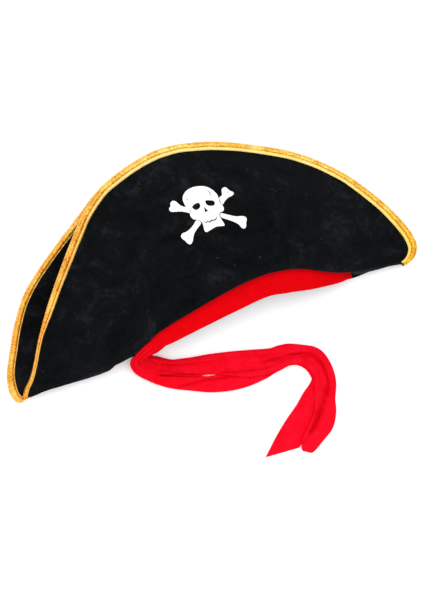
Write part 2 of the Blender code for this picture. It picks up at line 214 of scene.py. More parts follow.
def close_up(thing, angle=50):
    """Joins meeting edges, points the faces outwards and shades them smooth."""
    bpy.ops.object.select_all(action="DESELECT")
    thing.select_set(True)
    bpy.context.view_layer.objects.active = thing
    bpy.ops.object.mode_set(mode="EDIT")
    bpy.ops.mesh.select_all(action="SELECT")
    bpy.ops.mesh.remove_doubles(threshold=.00001)
    bpy.ops.mesh.normals_make_consistent(inside=False)
    bpy.ops.object.mode_set(mode="OBJECT")
    bpy.ops.object.shade_smooth_by_angle(angle=math.radians(angle))
    return thing


def skin(thing, thickness, material, angle=50):
    """Gives cloth its thickness in mm and its material, and closes it up."""
    layer = thing.modifiers.new("thickness", "SOLIDIFY")
    layer.thickness, layer.offset = thickness * MM, 0
    bpy.context.view_layer.objects.active = thing
    bpy.ops.object.modifier_apply(modifier=layer.name)
    thing.data.materials.append(material)
    return close_up(thing, angle)


def fix(piece, node, body="hat"):
    """Hides the record's part that a piece stands for, and attaches the piece to the body it moves with."""
    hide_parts(node)
    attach(piece, body)
    return piece


def add(tree, kind, numbered=None, **named):
    """A shader node. Inputs, by number or capitalised name, are values or other nodes' outputs;
    the other names are the node's settings."""
    made, inputs = tree.nodes.new("ShaderNode" + kind), dict(numbered or {})
    for key, value in named.items():
        if key[0].isupper():
            inputs[key.replace("_", " ")] = value
        else:
            setattr(made, key, value)
    for key, value in inputs.items():
        if isinstance(value, bpy.types.NodeSocket):
            tree.links.new(value, made.inputs[key])
        else:
            made.inputs[key].default_value = value
    return made


def spot(tree, kind="Object"):
    """Where a point lies on the object, or on its flat cloth with UV."""
    return add(tree, "TexCoord").outputs[kind]


def noise(tree, place, scale, **more):
    return add(tree, "TexNoise", Vector=place, Scale=scale, **more).outputs["Fac"]


def sums(tree, operation, *values):
    return add(tree, "Math", dict(enumerate(values)), operation=operation).outputs[0]


def tint(tree, share, under, over, blend="MIX"):
    """One colour laid over another by a share."""
    return add(tree, "Mix", {0: share, 6: under, 7: over}, data_type="RGBA",
               blend_type=blend).outputs[2]


def relief(tree, height, strength, distance, **more):
    return add(tree, "Bump", Height=height, Strength=strength, Distance=distance,
               **more).outputs["Normal"]


def ramp(tree, factor, *stops):
    """A colour read from stops by a factor."""
    made = add(tree, "ValToRGB", Fac=factor)
    steps = made.color_ramp.elements
    while len(steps) < len(stops):
        steps.new(.5)
    for step, (place, colour) in zip(steps, stops):
        step.position, step.color = place, (*colour, 1)
    return made.outputs["Color"]


def finish(material, colour, normal=None):
    """Joins a colour, and a relief if there is one, to a material's shader."""
    links, shader = material.node_tree.links, material.node_tree.nodes["Principled BSDF"]
    links.new(colour, shader.inputs["Base Color"])
    if normal is not None:
        links.new(normal, shader.inputs["Normal"])
    return material


def make_velour():
    """Short black pile: lighter bluish patches where the pile lies differently, partly painted sheen, a few
    hairs of lint and a faint sheen.
    """
    material, tree = start_material(
        "black_velour", .85, Specular_IOR_Level=.05, Sheen_Weight=.035, Sheen_Roughness=.45,
        Sheen_Tint=(.62, .68, .9, 1))
    place = spot(tree)
    # Lighter bluish patches: pile laid different ways, with painted sheen in their colour.
    brushed_pile_sheen = noise(tree, place, 21, Detail=6, Roughness=.66, Distortion=1.6)
    pile = noise(tree, place, 1400, Detail=3, Roughness=.7)
    nap = noise(tree, place, 260, Detail=3, Roughness=.6)
    cloth = ramp(tree, sums(tree, "MULTIPLY_ADD", nap, .35, brushed_pile_sheen), (.5, (.0012, .0014, .0015)),
                 (.72, (.0034, .0040, .0046)), (.9, (.0120, .0132, .0172)))
    strand = ramp(tree, noise(tree, place, 58, Detail=0, Distortion=1.2),
                  (.4988, (0, 0, 0)), (.5, (1, 1, 1)), (.5012, (0, 0, 0)))
    patch = ramp(tree, noise(tree, place, 105, Detail=1), (.70, (0, 0, 0)), (.73, (1, 1, 1)))
    lint = tint(tree, 1, strand, patch, "MULTIPLY")
    return finish(material, tint(tree, lint, cloth, (.16, .16, .17, 1)), relief(
        tree, nap, .35, .0012, Normal=relief(tree, pile, .5, .0004)))


def make_foam():
    """Grey open-cell foam."""
    material, tree = start_material("grey_foam", .95, Specular_IOR_Level=.2)
    cells = add(tree, "TexVoronoi", Vector=spot(tree), Scale=1300).outputs["Distance"]
    return finish(material, ramp(tree, cells, (0, (.03, .03, .03)), (.7, (.16, .16, .165))),
                  relief(tree, cells, .6, .0004))


velour, foam_finish = make_velour(), make_foam()


def in_point(x):
    """How far into one of the hat's two points, from 0 to 1."""
    return smooth_step((np.abs(x) - POINT_START) / POINT_RISE)


def back_height(c, r, p):
    near_rim = smooth_step((r - RIM_START) / RIM_RISE)
    return BACK_FLAT + BACK_LIFT * np.maximum(near_rim, in_point(p[:, 0]))


back_surface = ruled(smooth_line(BACK_FOLD), smooth_line(BACK_EDGE), back_height)


def rolled_cloth(name, surface, lift, columns, rows, roll, dents, size, span=(0, 1), top=.985,
                 material=velour):
    """Cloth on one face of a surface, turned round that surface's lower edge by roll degrees."""
    side, rolled = np.sign(lift), .08

    def place(u, v):
        c = span[0] + u * (span[1] - span[0])
        turned = v < rolled
        r = np.where(turned, 0, (v - rolled) / (1 - rolled) * top)
        p = lifted(surface, c, r, lift + side * dents(c, r))
        angle = np.radians(roll) * (1 - v / rolled)
        low, n = surface(c, r * 0), normals(surface, c, r * 0)
        out = low - surface(c, r * 0 + .03)
        out /= np.linalg.norm(out, axis=1)[:, None]
        reach = lift + side * dents(c, r * 0)
        curl = low + n * (reach * np.cos(angle))[:, None] + out * (np.abs(reach) * np.sin(angle))[:, None]
        return np.where(turned[:, None], curl, p)

    return skin(shaped_grid(name, columns, rows, place, size), VELOUR * CLOTH_SHARE, material)


def foam_layer(name, surface, columns, rows):
    return skin(shaped_grid(name, columns, rows, lambda u, v: lifted(surface, u, v * .985, 0),
                            (.42, .17)), FOAM, foam_finish)


back_outer = fix(rolled_cloth(
    "back_velour_outer", back_surface, -FACE, 200, 50, 178, level, (.46, .19)),
    "back_brim_outer")
back_inner = fix(rolled_cloth(
    "back_velour_inner", back_surface, FACE, 200, 50, 2,
    lambda c, r: .25 * np.sin(np.pi * r) * np.sin(23 * c + 5 * r), (.46, .18)),
    "back_brim_inner")
back_foam = fix(foam_layer("back_foam_sheet", back_surface, 120, 30), "back_brim_foam")


# --- Back binding -------------------------------------------------------------------
# Gold lame tape folded over the brim's edge and sewn down through its middle, which
# leaves a fat glittering roll along the edge and a thin bright lip on the velour.
TAPE_LENGTH, TAPE_CLOTH, LIP_GOLD = .70, .6, (1, .78, .30, 1)
STITCH_PITCH, STITCH_SIDE, STITCH_HIGH = 2.6, .3, .26
# Painted light along the gold tape, from its left point to its right one.
LAME_LIGHT_FADE = ((0, (.92, .70, .42)), (.28, (.96, .78, .52)), (.42, (1, .98, .95)), (.8, (1, .98, .8)),
              (.93, (1, .95, .55)), (1, (1, .9, .42)))
BACK_TAPE = ((6.6, 2.75), (6.1, 3.35), (5.4, 3.2), (4.9, 3.2), (4.2, 3.9), (2.4, 4.25), (.2, 3.9),
             (-1.3, 2.6), (-1.9, .4), (-1.5, -2.2), (-.2, -3.4), (2.5, -3.75), (4.2, -3.4),
             (4.9, -3.1), (5.6, -3.3), (6.6, -2.8))


def stripes(tree, along, scale, distortion):
    """Fine ribs that follow each other along one direction of the cloth."""
    line = add(tree, "CombineXYZ", X=along).outputs["Vector"]
    return add(tree, "TexWave", Vector=line, Scale=scale, Distortion=distortion).outputs["Fac"]


def make_gold(name, crease, depth, lip):
    """Woven metal yarn: crosswise ribs, glitter, painted shade along the crease, a bright lip, and
    painted light that changes slowly along the tape."""
    material, tree = start_material(name, .34, Metallic=.72, Specular_IOR_Level=.5)
    place, flat = spot(tree), add(tree, "SeparateXYZ", Vector=spot(tree, "UV")).outputs
    yarn = noise(tree, place, 620, Detail=3, Roughness=.7)
    wear = noise(tree, place, 75, Detail=2)
    glitter = ramp(tree, sums(tree, "MULTIPLY_ADD", wear, .45, yarn), (.55, (.52, .20, .012)),
                   (.68, (.86, .42, .035)), (.80, (1, .66, .14)), (.92, (1, .88, .42)))
    # Painted shade darkens the tape along its stitched crease.
    white, dark = (1, 1, 1), tuple(1 - depth * k for k in (.75, .95, 1))
    shade = ramp(tree, flat["Y"], (0, white), (crease - .045, white), (crease, dark),
                 (crease + .05, white), (1, white))
    on_lip = ramp(tree, flat["Y"], *((v, (k,) * 3) for v, k in lip))
    # Painted light: the tape is tinted darker or brighter along its length.
    light_fade = ramp(tree, sums(tree, "DIVIDE", flat["X"], TAPE_LENGTH), *LAME_LIGHT_FADE)
    gold = tint(tree, on_lip, tint(tree, 1, glitter, shade, "MULTIPLY"), LIP_GOLD)
    ribs = relief(tree, stripes(tree, flat["X"], 330, .4), .45, .0003)
    return finish(material, tint(tree, 1, gold, light_fade, "MULTIPLY"),
                  relief(tree, yarn, .6, .0004, Normal=ribs))


def edge_frame(surface, c):
    """The bound edge's points, and its directions out of the cloth and off its face."""
    one = np.ones_like(c)
    edge, n = surface(c, one), normals(surface, c, one)
    along = surface(c + .004, one) - surface(c - .004, one)
    out = np.cross(n, along)
    out /= np.linalg.norm(out, axis=1)[:, None]
    reach = np.einsum("ij,ij->i", edge - surface(c, one * .9), out) / .1
    return edge, out, n, reach


def near_edge(surface, c, inset, lift):
    """Points that far in from the bound edge, or out past it, and that high off the cloth."""
    edge, out, n, reach = edge_frame(surface, c)
    share = np.clip(1 - inset / reach, .02, 1)
    inner = surface(c, share) + normals(surface, c, share) * lift[:, None]
    outer = edge - out * inset[:, None] + n * lift[:, None]
    return np.where((inset > 0)[:, None], inner, outer)


def binding(name, surface, profile, columns, rows, seed, material, widths, heights):
    """Tape round a brim's edge: profile is (inset, lift) from its upper lip to its lower."""
    section = smooth_line(profile)
    pucker, sway = ripple(seed, 14, 120, 520), ripple(seed + 1, 8, 30, 140)

    def place(c, v):
        inset, lift = section(v).T
        raised = smooth_step((np.abs(lift) - 3.0) / .6)
        lift = lift * (1 + .05 * raised * pucker(c)) * np.interp(c, *zip(*heights))
        inset = (inset + .28 * sway(c) * (inset > 0)) * np.interp(c, *zip(*widths))
        return near_edge(surface, c, inset, lift)

    return skin(shaped_grid(name, columns, rows, place, (TAPE_LENGTH, 1)), TAPE_CLOTH, material, 60)


def stitches(name, surface, inset, lift, length, spread=.03):
    """Separate short stitches of gold thread along the binding's crease."""
    count = int(length / STITCH_PITCH)
    c = np.linspace(spread, 1 - spread, count)
    here = near_edge(surface, c, np.full(count, inset), np.full(count, lift))
    ahead = near_edge(surface, c + .0008, np.full(count, inset), np.full(count, lift))
    bpy.ops.object.select_all(action="DESELECT")
    bpy.ops.mesh.primitive_uv_sphere_add(segments=6, ring_count=4, radius=1)
    one = bpy.context.object
    mesh = one.data
    one.name = mesh.name = name
    shape = np.array([v.co for v in mesh.vertices])
    faces = [list(f.vertices) for f in mesh.polygons]
    points, all_faces = [], []
    for k in range(count):
        along = (ahead[k] - here[k]) / np.linalg.norm(ahead[k] - here[k])
        side = np.cross(along, (0, 0, 1))
        side /= np.linalg.norm(side)
        off = np.cross(side, along)
        all_faces += [[i + len(points) * len(shape) for i in f] for f in faces]
        points.append(here[k] + shape[:, :1] * along * STITCH_PITCH * .36
                      + shape[:, 1:2] * side * STITCH_SIDE + shape[:, 2:] * off * STITCH_HIGH)
    mesh.clear_geometry()
    mesh.from_pydata(((np.vstack(points) - ORIGIN) * MM).tolist(), [], all_faces)
    mesh.shade_smooth()
    mesh.materials.append(thread)
    return one


def make_thread(name, roughness, scale, dark, light, **values):
    """Twisted sewing thread in two tones."""
    material, tree = start_material(name, roughness, **values)
    return finish(material, ramp(tree, noise(tree, spot(tree), scale, Detail=1), dark, light))


thread = make_thread("gold_thread", .45, 2200, (.35, (.30, .11, .008)), (.7, (.75, .36, .04)),
                     Metallic=.3)
# The back tape's crease gets painted shade .62 deep.
back_gold = make_gold("gold_lame_back", .10, .62, ((0, .8), (.06, .8), (.085, 0), (1, 0)))
back_binding = fix(binding(
    "back_gold_binding", back_surface, BACK_TAPE, 520, 34, 5, back_gold,
    ((0, .7), (.04, .9), (.09, .75), (.28, .75), (.4, .95), (1, .95)), ((0, .9), (.02, 1), (1, 1))),
    "back_trim")
fix(stitches("back_binding_stitches", back_surface, 4.9, 3.45, 640), "back_trim_stitch")


# --- Crown --------------------------------------------------------------------------
# Two panels of the same velour joined by a piped seam, with the head opening along their
# lower edge.
CROWN_LIP = (
    (-138, 9, 10.5), (-105, 8, 18), (-70, 6, 26.5), (-45, 8, 31.5), (-10, 12, 36), (45, 17, 38),
    (70, 13.5, 36), (100, 8, 29.5), (127, 5.2, 20), (147, 5.6, 11))
CROWN_BACK_LIP = (
    (-138, 9, 0), (-92, 10, 0), (-45, 13, 0), (45, 20, 0), (110, 13, 0), (146, 9, 0))
CROWN_CLOTH, CROWN_BULGE, CROWN_BACK_HEIGHT, SEAM_HEIGHT = 1.2, 35.0, 5.9, 9.0
CROWN_MIDDLE, CROWN_HALF_WIDTH, CROWN_DEPTH = (4, 10), 144, 134
CROWN_START, CROWN_ROUNDING = math.radians(8), 2 / 2.6


def crown_arch(z, grow=0.0):
    """The crown's outline at a height: half of a squared round, larger by grow."""
    def at(c):
        angle = math.pi - CROWN_START - c * (math.pi - 2 * CROWN_START)
        wide = np.sign(np.cos(angle)) * np.abs(np.cos(angle)) ** CROWN_ROUNDING
        deep = np.abs(np.sin(angle)) ** CROWN_ROUNDING
        return np.stack((CROWN_MIDDLE[0] + (CROWN_HALF_WIDTH + grow) * wide,
                         CROWN_MIDDLE[1] + (CROWN_DEPTH + grow) * deep, np.full_like(c, z)), 1)
    return at


crown_front_surface = ruled(
    smooth_line(CROWN_LIP), crown_arch(SEAM_HEIGHT),
    lambda c, r, p: CROWN_BULGE * np.sin(np.pi * c) ** .8 * np.sin(np.pi * r ** 1.4))
crown_back_surface = ruled(
    smooth_line(CROWN_BACK_LIP), crown_arch(0.0), lambda c, r, p: np.full_like(c, CROWN_BACK_HEIGHT))


def panel(name, surface, columns, rows, lift, thickness, size, material, span=(0, 1, 0, 1),
          wave=level):
    """Cloth on part of a surface, lifted off it in a wave."""
    def place(u, v):
        c, r = span[0] + u * (span[1] - span[0]), span[2] + v * (span[3] - span[2])
        return lifted(surface, c, r, lift + wave(c, r))

    return skin(shaped_grid(name, columns, rows, place, size), thickness, material)


crown_front = panel(
    "crown_front_panel", crown_front_surface, 140, 60, 0, CROWN_CLOTH * CLOTH_SHARE, (.36, .17), velour,
    wave=lambda c, r: .5 * np.sin(9 * c + 3 * r) * np.sin(np.pi * r))
crown_back = panel(
    "crown_back_panel", crown_back_surface, 100, 40, 0, CROWN_CLOTH * CLOTH_SHARE, (.30, .13), velour)
for piece, node, flat, area in ((crown_front, "crown_front", (.36, .17), .0435),
                                (crown_back, "crown_back", (.29, .135), .0316)):
    fix(piece, node)


def made_of_curve(name, curve, loops, cyclic, material):
    """A mesh made from a curve along loops of points in millimetres."""
    for loop in loops:
        spline = curve.splines.new("POLY")
        spline.points.add(len(loop) - 1)
        spline.use_cyclic_u = cyclic
        for point, place in zip(spline.points, loop * MM):
            point.co = (*place, 1)
    thing = bpy.data.objects.new(name, curve)
    bpy.context.scene.collection.objects.link(thing)
    bpy.ops.object.select_all(action="DESELECT")
    thing.select_set(True)
    bpy.context.view_layer.objects.active = thing
    bpy.ops.object.convert(target="MESH")
    thing = bpy.context.object
    thing.name = thing.data.name = name
    thing.data.materials.clear()
    thing.data.materials.append(material)
    return thing


def round_cord(name, path, radius, sides, material):
    """A closed round cord along a path, made from a curve with a bevel."""
    curve = bpy.data.curves.new(name, "CURVE")
    curve.dimensions, curve.bevel_depth, curve.bevel_resolution = "3D", radius * MM, sides
    curve.use_fill_caps = True
    return close_up(made_of_curve(name, curve, [path - ORIGIN], False, material))


seam_path = crown_arch(SEAM_HEIGHT - 1.6, 2.4)(np.linspace(0, 1, 120))
seam_ends = smooth_line(CROWN_LIP)(np.array((0.0, 1.0))) + np.array(((-2.4, 0, -2.6), (2.4, 0, -2.6)))
fix(round_cord("crown_seam_cord", np.vstack((seam_ends[:1], seam_path, seam_ends[1:])), 1.0, 4, velour),
    "crown_seam_piping")


# --- Lining, sweatband and label ------------------------------------------------------
# Thin black satin gathered into the crown, a ribbed grosgrain sweatband sewn round the
# head opening over it, and a small blank care label tucked into the sweatband's seam.
def make_satin():
    """Thin black satin with a diagonal weave."""
    material, tree = start_material("black_satin", .32, Specular_IOR_Level=.5, Sheen_Weight=.05)
    uv = spot(tree, "UV")
    weave = add(tree, "TexWave", wave_type="BANDS", bands_direction="DIAGONAL", Vector=uv,
                Scale=900, Distortion=1.5).outputs["Fac"]
    return finish(material, ramp(tree, noise(tree, uv, 30, Detail=3), (.3, (.010, .010, .012)),
                                 (.75, (.030, .030, .036))), relief(tree, weave, .15, .0002))


def make_grosgrain():
    """Black ribbon with ribs across it."""
    material, tree = start_material("black_grosgrain", .6, Specular_IOR_Level=.4)
    rib = stripes(tree, add(tree, "SeparateXYZ", Vector=spot(tree, "UV")).outputs["X"], 180, .2)
    return finish(material, ramp(tree, rib, (.1, (.008, .008, .009)), (.8, (.035, .035, .038))),
                  relief(tree, rib, .8, .0004))


def make_label():
    """White woven tape."""
    material, tree = start_material("white_label_tape", .55)
    weave = add(tree, "TexBrick", Vector=spot(tree, "UV"), Scale=1400,
                Mortar_Size=.01).outputs["Fac"]
    return finish(material, ramp(tree, weave, (0, (.80, .80, .77)), (1, (.66, .66, .63))),
                  relief(tree, weave, .3, .0002))


def gathers(c, r):
    """Close uneven pleats that fade at both edges."""
    return .55 * np.sin(170 * c + 9 * np.sin(4 * r)) * np.sin(np.pi * np.clip(r, 0, 1)) ** .4


def edge_roll(c, r):
    """The ribbon's raised edges."""
    return .25 * np.cos(np.pi * np.clip(r / .2, 0, 1) * 2)


satin, grosgrain, label_tape = make_satin(), make_grosgrain(), make_label()
half = CROWN_CLOTH / 2
LINING_SPAN, RIBBON_SPAN = (1 / 18, 17 / 18, .004, .92), (2 / 18, 16 / 18, .006, .2)
for piece, node, slot, flat, area, held, under in (
        (panel("crown_lining_front", crown_front_surface, 340, 50, -half - .9, .35, (.34, .16), satin,
               LINING_SPAN, lambda c, r: gathers(c, r) - .5),
         "lining_front", "lining", (.34, .16), .0400, "gathered", "crown_front_panel"),
        (panel("crown_lining_back", crown_back_surface, 340, 40, half + 1.0, .35, (.30, .12), satin,
               LINING_SPAN, lambda c, r: gathers(c + .01, r) + .5),
         "lining_back", "lining", (.30, .12), .0290, "gathered", "crown_back_panel"),
        (panel("sweatband_front_ribbon", crown_front_surface, 150, 10, -half - 3.0, .9, (.27, .026),
               grosgrain, RIBBON_SPAN, lambda c, r: -edge_roll(c, r)),
         "sweatband_front", "grosgrain", (.28, .025), .0062, "laid", "crown_lining_front"),
        (panel("sweatband_back_ribbon", crown_back_surface, 150, 10, half + 3.0, .9, (.25, .026),
               grosgrain, RIBBON_SPAN, edge_roll),
         "sweatband_back", "grosgrain", (.25, .024), .0055, "laid", "crown_lining_back")):
    fix(piece, node)
label = fix(panel(
    "blank_label", crown_back_surface, 24, 14, half + 4.6, .35, (.022, .014), label_tape,
    (.66, .75, .17, .40), lambda c, r: .5 * np.sin((c - .66) / .09 * 3.1)
    + 1.2 * smooth_step((r - .28) / .12)), "care_label")


# --- Front brim ---------------------------------------------------------------------
# The turned-up front of the hat: velour over foam, full in the middle, its lower edge a
# soft fold above the forehead.
FRONT_EDGE = (
    (-218, 4.5, 12), (-216, 8, 13), (-212, 13.5, 14.5), (-205, 21, 17),
    (-196, 35.5, 22), (-182, 61.5, 34), (-155, 97.5, 42), (-120.5, 135.5, 38), (-97.5, 157.5, 33),
    (-66, 177, 31), (-8, 190, 30), (45, 181, 30), (97, 159, 28), (134, 138, 26), (168, 109, 23),
    (192, 79, 20), (208, 54, 17), (218.5, 32, 14.5), (222, 19, 13.4), (221.5, 10.5, 12.6),
    (216.5, 3, 11.5), (209, 0, 9.5))
FRONT_FOLD = (
    (-204, 5, 12), (-190, 5.4, 13), (-176, 4.6, 13.4), (-140, 5, 17), (-105, 8, 25),
    (-71, 21.5, 36), (-26, 31, 46), (18, 38, 51), (50, 39.5, 51), (74, 36.5, 48), (94, 31, 43),
    (124, 18, 32), (148, 11, 22), (178, 6, 14), (192, 4.6, 12.8), (203, 2.5, 11.5))
BRIM_BULGE = 21.0

front_surface = ruled(
    smooth_line(FRONT_FOLD), smooth_line(FRONT_EDGE),
    lambda c, r, p: BRIM_BULGE * np.sin(np.pi * c) ** 1.2 * np.sin(np.pi * r ** .8))


DENTS = (      # place along and up the brim, width each way, depth in mm
    (.12, .45, .035, .5, 1.1), (.17, .55, .03, .45, -1.0), (.80, .72, .05, .22, -.8),
    (.62, .80, .09, .16, .6), (.36, .86, .1, .14, -.6), (.45, .16, .2, .1, .5),
    (.88, .5, .03, .3, .6), (.27, .22, .05, .16, -.7))


def front_dents(c, r):
    """Shallow hollows and soft ridges where the foam has been folded and pressed."""
    dent = 0 * c
    for cc, rr, wc, wr, depth in DENTS:
        dent = dent + depth * np.exp(-((c - cc) / wc) ** 2 - ((r - rr) / wr) ** 2)
    return dent * np.sin(np.pi * np.clip(r, 0, 1)) ** .5


def fix_to_brim(piece, node):
    """Hides the record's part that a front-brim piece stands for, and bakes the piece's placement into its
    mesh.
    """
    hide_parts(node)
    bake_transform(piece)
    return piece


front_outer = fix_to_brim(rolled_cloth(
    "front_velour_outer", front_surface, FACE, 260, 90, 172, front_dents, (.46, .20)),
    "front_brim_outer")
front_inner = fix_to_brim(rolled_cloth(
    "front_velour_inner", front_surface, -FACE, 200, 60, 4, level, (.46, .19)),
    "front_brim_inner")
front_foam = fix_to_brim(foam_layer("front_foam_sheet", front_surface, 140, 50), "front_brim_foam")


# --- Front binding ------------------------------------------------------------------
# The same tape on the turned-up edge, sewn down so that two fat strips stand on either
# side of the stitched crease.
FRONT_TAPE = ((8.2, 2.75), (7.6, 3.6), (6.2, 4.2), (5.0, 3.7), (4.4, 3.0), (3.8, 3.7), (2.4, 4.4),
              (.4, 4.3), (-1.2, 3.0), (-1.9, .6), (-1.6, -2.0), (-.4, -3.4), (2.4, -3.8),
              (4.4, -3.1), (6.0, -3.6), (7.6, -2.8))
# The front tape's crease gets painted shade .8 deep.
front_gold = make_gold("gold_lame_front", .175, .8, ((0, .8), (.10, .7), (.14, 0), (1, 0)))
front_binding = fix_to_brim(binding(
    "front_gold_binding", front_surface, FRONT_TAPE, 560, 36, 11, front_gold,
    ((0, .34), (.11, .36), (.145, .62), (.24, .82), (.4, 1), (.9, 1.05), (.97, 1.1), (.988, 1), (1, .3)),
    ((0, .78), (.11, .8), (.15, .95), (.3, 1), (.95, 1), (.985, .9), (1, .75))),
    "front_trim")
fix_to_brim(stitches("front_binding_stitches", front_surface, 4.4, 3.25, 500, .15),
            "front_trim_stitch")


# --- Points of the hat ----------------------------------------------------------------
# At each point the brim is folded: the velour runs round from the front brim to the back
# one, and the two bound edges meet at the end of that fold.
POINT_TIP = 211      # where the folds end, from the middle of the hat, mm


def height_of(line, x):
    """A line's y and z where it passes each x."""
    p = line(np.linspace(0, 1, 400))
    return np.interp(x, p[:, 0], p[:, 1]), np.interp(x, p[:, 0], p[:, 2])


def point_fold(name, node, side, length, bulges):
    """Velour round the open side of a point: from the tip inwards by its length in mm, with
    how far it bulges at distances from the middle of the hat."""
    front_line, back_line = smooth_line(FRONT_FOLD), smooth_line(BACK_FOLD)

    def place(u, v):
        x = side * (POINT_TIP - length * u)
        front_y, front_z = height_of(front_line, x)
        back_y, _ = height_of(back_line, x)
        back_z = BACK_FLAT + BACK_LIFT * in_point(x)
        tuck = 1 - smooth_step((u - .8) / .2)
        high, low = front_z + FACE * tuck, back_z - FACE * tuck
        bulge = np.interp(np.abs(x), *zip(*bulges)) * tuck
        y = front_y * (1 - v) + back_y * v - bulge * np.sin(np.pi * v) + 1.5 * (1 - tuck)
        return np.stack((x, y, (high + low) / 2 + (high - low) / 2 * np.cos(np.pi * v)), 1)

    thing = fix(skin(shaped_grid(name, 90, 26, place, (.105, .024)), VELOUR * CLOTH_SHARE, velour),
                node)


point_fold("left_point_fold", "side_fold_left", -1, 103, (
    (108, 3), (118, 5.4), (137, 5), (160, 3.2), (177, 2), (195, 1), (211, 1.4)))
point_fold("right_point_fold", "side_fold_right", 1, 76, (
    (135, -3), (143, -3), (150, .6), (160, 2), (177, 2.8), (195, 2.8), (211, 2)))


# --- Skull and crossed bones ----------------------------------------------------------
# A white transfer pressed on to the middle of the front brim: one plain skull and the
# four arms of two crossed bones, each a thin skin that follows the velour.
PRINT_CENTRE, PRINT_SCALE = np.array((12.4, 116.6)), .955
PRINT_HALF, PRINT_CELL, PRINT_LIFT = .17, .0018, .00025
SKULL = (
    (4, 27.5), (10.2, 24.6), (14.9, 19.4), (17.4, 13.4), (17.2, 8.5), (16.6, 4.6), (17.8, .6),
    (17.9, -3.2), (16.1, -5.6), (12.2, -6.2), (10.2, -9.7), (11.6, -19), (10, -20.4), (2.7, -18.7),
    (-3.7, -19.7), (-8.9, -20.6), (-10.7, -18.5), (-9.8, -11.7), (-10.6, -7.8), (-14.2, -4.8),
    (-17.2, -2.9), (-18.5, .8), (-17.9, 4.2), (-17.8, 8.7), (-19, 13.6), (-18.9, 19.5),
    (-16.2, 24.2), (-10.7, 27.6), (-3.5, 28.8))
SKULL_HOLES = (
    ((-12.9, 9.4), (-9.5, 11.3), (-5.2, 11.4), (-4, 9), (-5.2, 6.5), (-7.6, 5.1), (-10.8, 5.1),
     (-12.5, 7.1)),
    ((3.4, 11), (7.4, 9.8), (10.9, 7.9), (11.4, 5.5), (9.7, 3.3), (6.1, 3.6), (2.9, 5.8), (2.1, 8.8)),
    ((-1.2, 4.8), (.3, 1.6), (1.4, -1.2), (-.4, -.2), (-2.3, -.7), (-2, 1.7)),
    ((-7.9, -7.2), (-5.7, -10.6), (-3.4, -9.5), (-2.4, -11.1), (.3, -10.3), (2.5, -10.8),
     (5.3, -10.4), (7.7, -8.2), (5.6, -11.5), (2.6, -12), (.3, -11.6), (-2.6, -12.4), (-3.7, -10.8),
     (-6.1, -11.6)),
    ((8.7, 21.8), (11.3, 18.2), (11, 14.9), (11.4, 12), (10.5, 14.8), (10.7, 17.7)),
    ((-15.7, 20.3), (-14, 18.9), (-13.5, 16.2), (-14.5, 18.4)))
BONES = (
    ("upper_left", ((-15.6, 9), (-18.8, 11.3), (-22.6, 13.9), (-24.4, 16.4), (-26.2, 20.4),
                    (-28.8, 22.3), (-32, 21.2), (-33.6, 17.8), (-36, 15.8), (-36, 12.9),
                    (-33.6, 11.3), (-26.4, 9.1), (-21.9, 6.8), (-16.2, 3.6)),
     ((-30.2, 16.9), (-29, 15.5), (-29.9, 16))),
    ("upper_right", ((17.8, 8.4), (21.6, 10.2), (23, 12.3), (24.2, 15.9), (27.2, 17.6),
                     (29.9, 16.8), (31.2, 14), (32.6, 11.9), (34.8, 9.8), (34.6, 7.5), (31.8, 6.4),
                     (27.6, 6), (22.8, 4), (18.2, 1.2)),
     ((29.4, 12.5), (28.6, 10), (28.5, 11.4))),
    ("lower_right", ((12.6, -7), (17.1, -9.6), (22.3, -13), (27.4, -15.8), (33.2, -17.4),
                     (36.4, -20), (36.2, -22.9), (34.4, -25.4), (32.9, -29), (30, -30.4),
                     (27.7, -28.4), (26.1, -24.4), (22.8, -20.6), (17.7, -16.3), (11.2, -11)),
     ((30.3, -21.8), (31.5, -24.4), (30.5, -23.3))),
    ("lower_left", ((-14.4, -5.4), (-17.9, -7.7), (-22.4, -10.7), (-28.1, -13), (-33.5, -13.4),
                    (-36, -15.6), (-35.6, -18.8), (-33.9, -21.3), (-32.3, -25), (-29.9, -26.8),
                    (-26.9, -25), (-24.3, -20.8), (-21.6, -17.2), (-16.9, -13.7), (-11, -9.4)),
     ((-28.5, -18.5), (-30.1, -22), (-28.9, -20.4))))


def make_print():
    """Matt white transfer ink, worn thin in specks."""
    material, tree = start_material("white_print", .62, Specular_IOR_Level=.3)
    place = spot(tree)
    worn = noise(tree, place, 240, Detail=4, Roughness=.7)
    return finish(material, ramp(tree, worn, (.28, (.72, .72, .71)), (.42, (.88, .88, .88)),
                                 (.7, (.93, .93, .93))),
                  relief(tree, noise(tree, place, 1500, Detail=2), .3, .0002))


white_print = make_print()
velour_tree = BVHTree.FromPolygons([v.co.copy() for v in front_outer.data.vertices],
                                   [list(f.vertices) for f in front_outer.data.polygons])


def rounded_loop(points, steps=5):
    """A smooth closed outline through points."""
    p = np.array(points, float)
    t = (np.arange(steps) / steps)[None, :, None]
    four = (q[:, None] for q in (np.roll(p, 1, 0), p, np.roll(p, -1, 0), np.roll(p, -2, 0)))
    return between(*four, t).reshape(-1, 2)


